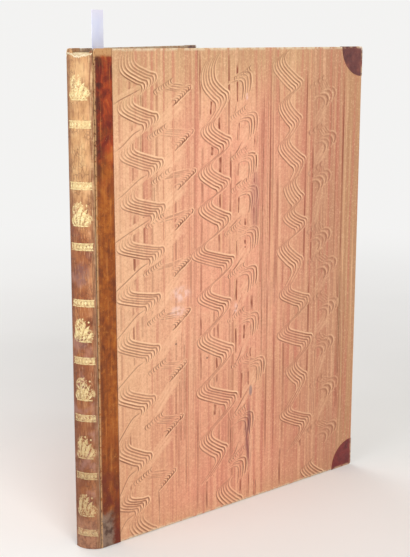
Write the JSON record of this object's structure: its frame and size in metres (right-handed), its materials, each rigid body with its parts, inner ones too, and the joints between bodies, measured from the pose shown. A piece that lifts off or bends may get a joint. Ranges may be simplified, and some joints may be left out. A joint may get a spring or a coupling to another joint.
{
  "type": "antique leather book",
  "caption": "Large antique book in half leather with combed paste-paper sides and a gilt spine, standing with its front cover ajar.",
  "frame": {"origin": "foot of the spine: on the surface the book stands on, in the plane of the two joints, midway through the thickness", "axes": "+Z from tail to head, +X from the joints to the fore-edge, -Y towards the front cover"},
  "size_m": [0.4333, 0.2546, 0.616],
  "materials": {
    "spine_calf": "worn",
    "mottled_calf": "polished, mottled",
    "corner_leather": "worn",
    "gilding": "gold leaf on leather, worn",
    "paste_paper": "combed paste paper",
    "pasteboard": "matt",
    "endpaper": "aged, matt",
    "pages": "aged, matt",
    "spine_paper": "matt",
    "hemp": "twisted cord",
    "thread": "worked thread",
    "slip_paper": "new, matt"
  },
  "bodies": {
    "text_block": {"text_block": "pages", "sewing_cords": "hemp", "hollow_tube": "spine_paper", "tail_band": "thread", "spine_leather": "spine_calf", "spine_bands": "gilding", "spine_fleurons": "gilding", "marker_slip": "slip_paper"},
    "front_cover": {"front_board": "pasteboard", "front_strip": "mottled_calf", "front_paper": "paste_paper", "front_head_corner": "corner_leather", "front_tail_corner": "corner_leather", "front_pastedown": "endpaper", "front_waves": "paste_paper", "front_streaks": "paste_paper"},
    "back_cover": {"back_board": "pasteboard", "back_strip": "mottled_calf", "back_paper": "paste_paper", "back_head_corner": "corner_leather", "back_tail_corner": "corner_leather", "back_pastedown": "endpaper", "back_waves": "paste_paper", "back_streaks": "paste_paper"}
  },
  "joints": [
    {"name": "front_joint", "type": "hinge", "parent": "text_block", "child": "front_cover", "pos_m": [0, -0.0155, 0], "axis": [0, 0, -1], "range_deg": [-31.5, 148.5]},
    {"name": "back_joint", "type": "hinge", "parent": "text_block", "child": "back_cover", "pos_m": [0, 0.0155, 0], "axis": [0, 0, 1], "range_deg": [0, 180]}
  ]
}
